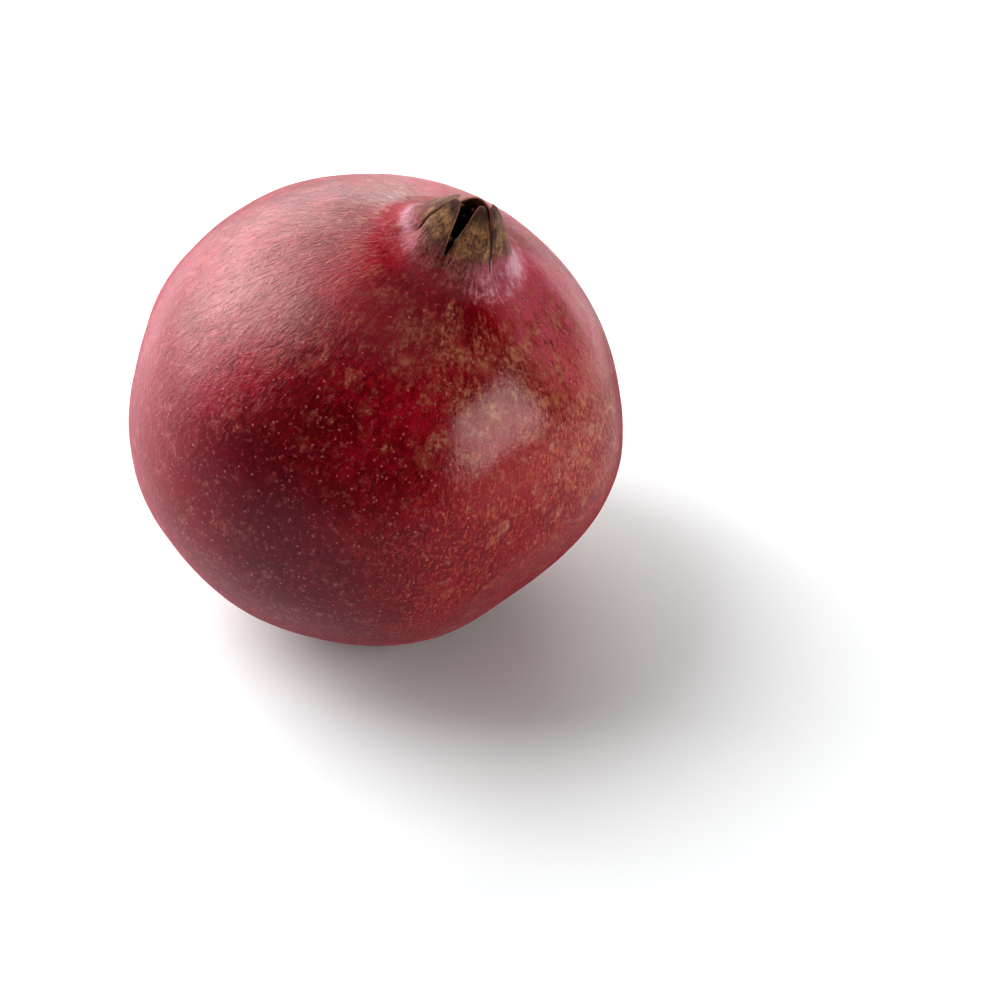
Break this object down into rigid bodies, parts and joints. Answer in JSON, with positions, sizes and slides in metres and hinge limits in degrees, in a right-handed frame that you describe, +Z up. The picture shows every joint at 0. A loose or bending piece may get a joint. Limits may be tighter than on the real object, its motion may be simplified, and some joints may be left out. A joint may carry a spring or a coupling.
{
  "type": "pomegranate",
  "caption": "Whole ripe pomegranate resting on a small flat spot, leathery red rind, its open calyx crown leaning to one side.",
  "frame": {"origin": "middle of the small flat spot of the rind that the fruit rests on", "axes": "+Z up from the surface it rests on; the fruit's own axis leans from +Z towards +X by 22.8 degrees, so the crown is up at +X and the stem stub low at -X"},
  "size_m": [0.0953, 0.0964, 0.0957],
  "materials": {
    "rind": "waxed, softly shining leathery rind",
    "cut_stem": "dry, rough cut wood",
    "withered_style": "dry and dark",
    "dried_stamens": "dry, papery"
  },
  "bodies": {
    "root": {"fruit": "rind", "stem_stub": "cut_stem", "style": "withered_style", "stamen_01": "dried_stamens", "stamen_02": "dried_stamens", "stamen_03": "dried_stamens", "stamen_04": "dried_stamens", "stamen_05": "dried_stamens", "stamen_06": "dried_stamens", "stamen_07": "dried_stamens", "stamen_08": "dried_stamens", "stamen_09": "dried_stamens", "stamen_10": "dried_stamens", "stamen_11": "dried_stamens", "stamen_12": "dried_stamens", "stamen_13": "dried_stamens", "stamen_14": "dried_stamens", "stamen_15": "dried_stamens", "stamen_16": "dried_stamens", "stamen_17": "dried_stamens", "stamen_18": "dried_stamens", "stamen_19": "dried_stamens", "stamen_20": "dried_stamens", "stamen_21": "dried_stamens", "stamen_22": "dried_stamens", "stamen_23": "dried_stamens", "stamen_24": "dried_stamens", "stamen_25": "dried_stamens", "stamen_26": "dried_stamens", "stamen_27": "dried_stamens", "stamen_28": "dried_stamens", "stamen_29": "dried_stamens", "stamen_30": "dried_stamens"}
  },
  "joints": []
}
